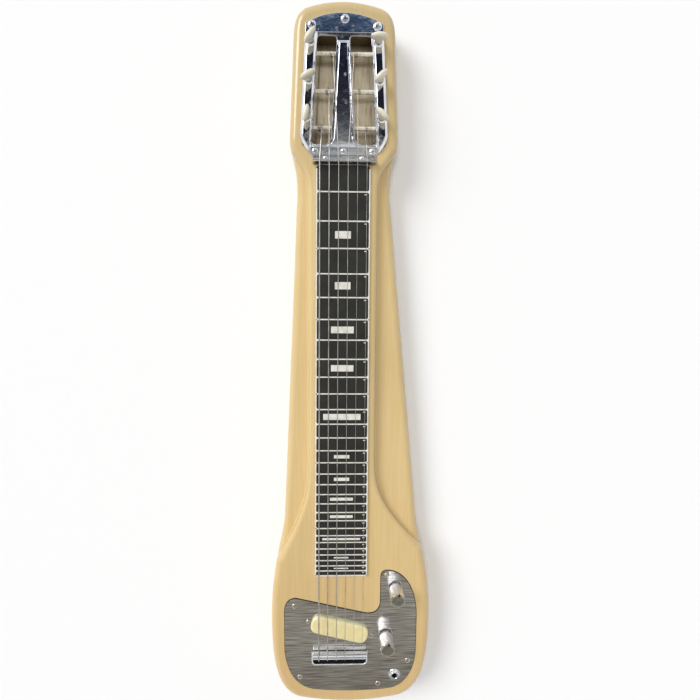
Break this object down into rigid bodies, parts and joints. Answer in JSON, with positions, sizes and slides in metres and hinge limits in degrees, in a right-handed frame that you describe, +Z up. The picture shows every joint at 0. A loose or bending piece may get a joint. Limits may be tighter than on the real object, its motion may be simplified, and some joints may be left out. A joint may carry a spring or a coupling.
{
  "type": "lap steel guitar",
  "caption": "Electric lap steel guitar: a solid lacquered body with a raised neck, chrome keyhead pan with worm-geared machines, pickup, knobs and output jack.",
  "frame": {"origin": "centre of the footprint, on the flat back that the guitar rests on", "axes": "+Z up, away from the back; +Y along the neck towards the head; +X to the treble side"},
  "size_m": [0.1916, 0.8002, 0.0695],
  "materials": {
    "lacquered_body": "high-gloss blonde lacquer over solid wood",
    "fretboard_black": "satin black print with pale fret lines and position marks",
    "chrome": "polished chrome plate",
    "plate_metal": "polished dark nickel plate with a faint horizontal grain",
    "steel": "satin, slightly aged",
    "string_steel": "bright drawn or wound wire",
    "cream_plastic": "gloss, slightly yellowed",
    "dark_plastic": "matte"
  },
  "bodies": {
    "guitar": {"body": "lacquered_body", "fretboard": "fretboard_black", "keyhead_pan": "chrome", "nut": "chrome", "control_plate": "plate_metal", "bridge": "chrome", "string_anchor": "steel", "pickup_cover": "cream_plastic", "pickup_coil": "dark_plastic", "output_jack": "chrome", "jack_nut": "chrome", "tuner_strip_bass": "steel", "tuner_strip_treble": "steel", "volume_pot": "steel", "volume_pot_nut": "chrome", "tone_pot": "steel", "tone_pot_nut": "chrome", "string_1": "string_steel", "string_2": "string_steel", "string_3": "string_steel", "string_4": "string_steel", "string_5": "string_steel", "string_6": "string_steel", "pan_screw_1": "chrome", "pan_screw_2": "chrome", "pan_screw_3": "chrome", "pan_foot_screw_1": "chrome", "pan_foot_screw_2": "chrome", "pan_foot_screw_3": "chrome", "nut_screw_1": "chrome", "nut_screw_2": "chrome", "plate_screw_1": "chrome", "plate_screw_2": "chrome", "plate_screw_3": "chrome", "plate_screw_4": "chrome", "plate_screw_5": "chrome", "pickup_screw_1": "chrome", "pickup_screw_2": "chrome"},
    "tuner_1": {"tuner_button_1": "cream_plastic", "worm_shaft_1": "steel"},
    "post_1": {"string_post_1": "steel"},
    "tuner_2": {"tuner_button_2": "cream_plastic", "worm_shaft_2": "steel"},
    "post_2": {"string_post_2": "steel"},
    "tuner_3": {"tuner_button_3": "cream_plastic", "worm_shaft_3": "steel"},
    "post_3": {"string_post_3": "steel"},
    "tuner_4": {"tuner_button_4": "cream_plastic", "worm_shaft_4": "steel"},
    "post_4": {"string_post_4": "steel"},
    "tuner_5": {"tuner_button_5": "cream_plastic", "worm_shaft_5": "steel"},
    "post_5": {"string_post_5": "steel"},
    "tuner_6": {"tuner_button_6": "cream_plastic", "worm_shaft_6": "steel"},
    "post_6": {"string_post_6": "steel"},
    "volume_control": {"volume_knob": "chrome", "volume_pot_shaft": "steel"},
    "tone_control": {"tone_knob": "chrome", "tone_pot_shaft": "steel"}
  },
  "joints": [
    {"name": "tuner_turn_1", "type": "hinge", "parent": "guitar", "child": "tuner_1", "pos_m": [-0.05025, 0.28475, 0.04], "axis": [0, 0, 1], "continuous": true},
    {"name": "post_turn_1", "type": "hinge", "parent": "guitar", "child": "post_1", "pos_m": [-0.05025, 0.27685, 0.04], "axis": [1, 0, 0], "continuous": true},
    {"name": "tuner_turn_2", "type": "hinge", "parent": "guitar", "child": "tuner_2", "pos_m": [-0.04814, 0.32095, 0.04], "axis": [0, 0, 1], "continuous": true},
    {"name": "post_turn_2", "type": "hinge", "parent": "guitar", "child": "post_2", "pos_m": [-0.04814, 0.31305, 0.04], "axis": [1, 0, 0], "continuous": true},
    {"name": "tuner_turn_3", "type": "hinge", "parent": "guitar", "child": "tuner_3", "pos_m": [-0.04601, 0.35735, 0.04], "axis": [0, 0, 1], "continuous": true},
    {"name": "post_turn_3", "type": "hinge", "parent": "guitar", "child": "post_3", "pos_m": [-0.04601, 0.34945, 0.04], "axis": [1, 0, 0], "continuous": true},
    {"name": "tuner_turn_4", "type": "hinge", "parent": "guitar", "child": "tuner_4", "pos_m": [0.02261, 0.35735, 0.04], "axis": [0, 0, 1], "continuous": true},
    {"name": "post_turn_4", "type": "hinge", "parent": "guitar", "child": "post_4", "pos_m": [0.02261, 0.34945, 0.04], "axis": [1, 0, 0], "continuous": true},
    {"name": "tuner_turn_5", "type": "hinge", "parent": "guitar", "child": "tuner_5", "pos_m": [0.02469, 0.32095, 0.04], "axis": [0, 0, 1], "continuous": true},
    {"name": "post_turn_5", "type": "hinge", "parent": "guitar", "child": "post_5", "pos_m": [0.02469, 0.31305, 0.04], "axis": [1, 0, 0], "continuous": true},
    {"name": "tuner_turn_6", "type": "hinge", "parent": "guitar", "child": "tuner_6", "pos_m": [0.02677, 0.28475, 0.04], "axis": [0, 0, 1], "continuous": true},
    {"name": "post_turn_6", "type": "hinge", "parent": "guitar", "child": "post_6", "pos_m": [0.02677, 0.27685, 0.04], "axis": [1, 0, 0], "continuous": true},
    {"name": "volume_turn", "type": "hinge", "parent": "guitar", "child": "volume_control", "pos_m": [0.0531, -0.24545, 0.05], "axis": [0, 0, 1], "range_deg": [-150, 150]},
    {"name": "tone_turn", "type": "hinge", "parent": "guitar", "child": "tone_control", "pos_m": [0.0425, -0.30795, 0.05], "axis": [0, 0, 1], "range_deg": [-150, 150]}
  ],
  "couplings": [
    {"joint": "post_turn_1", "follows": "tuner_turn_1", "ratio": -0.083333},
    {"joint": "post_turn_2", "follows": "tuner_turn_2", "ratio": -0.083333},
    {"joint": "post_turn_3", "follows": "tuner_turn_3", "ratio": -0.083333},
    {"joint": "post_turn_4", "follows": "tuner_turn_4", "ratio": -0.083333},
    {"joint": "post_turn_5", "follows": "tuner_turn_5", "ratio": -0.083333},
    {"joint": "post_turn_6", "follows": "tuner_turn_6", "ratio": -0.083333}
  ]
}
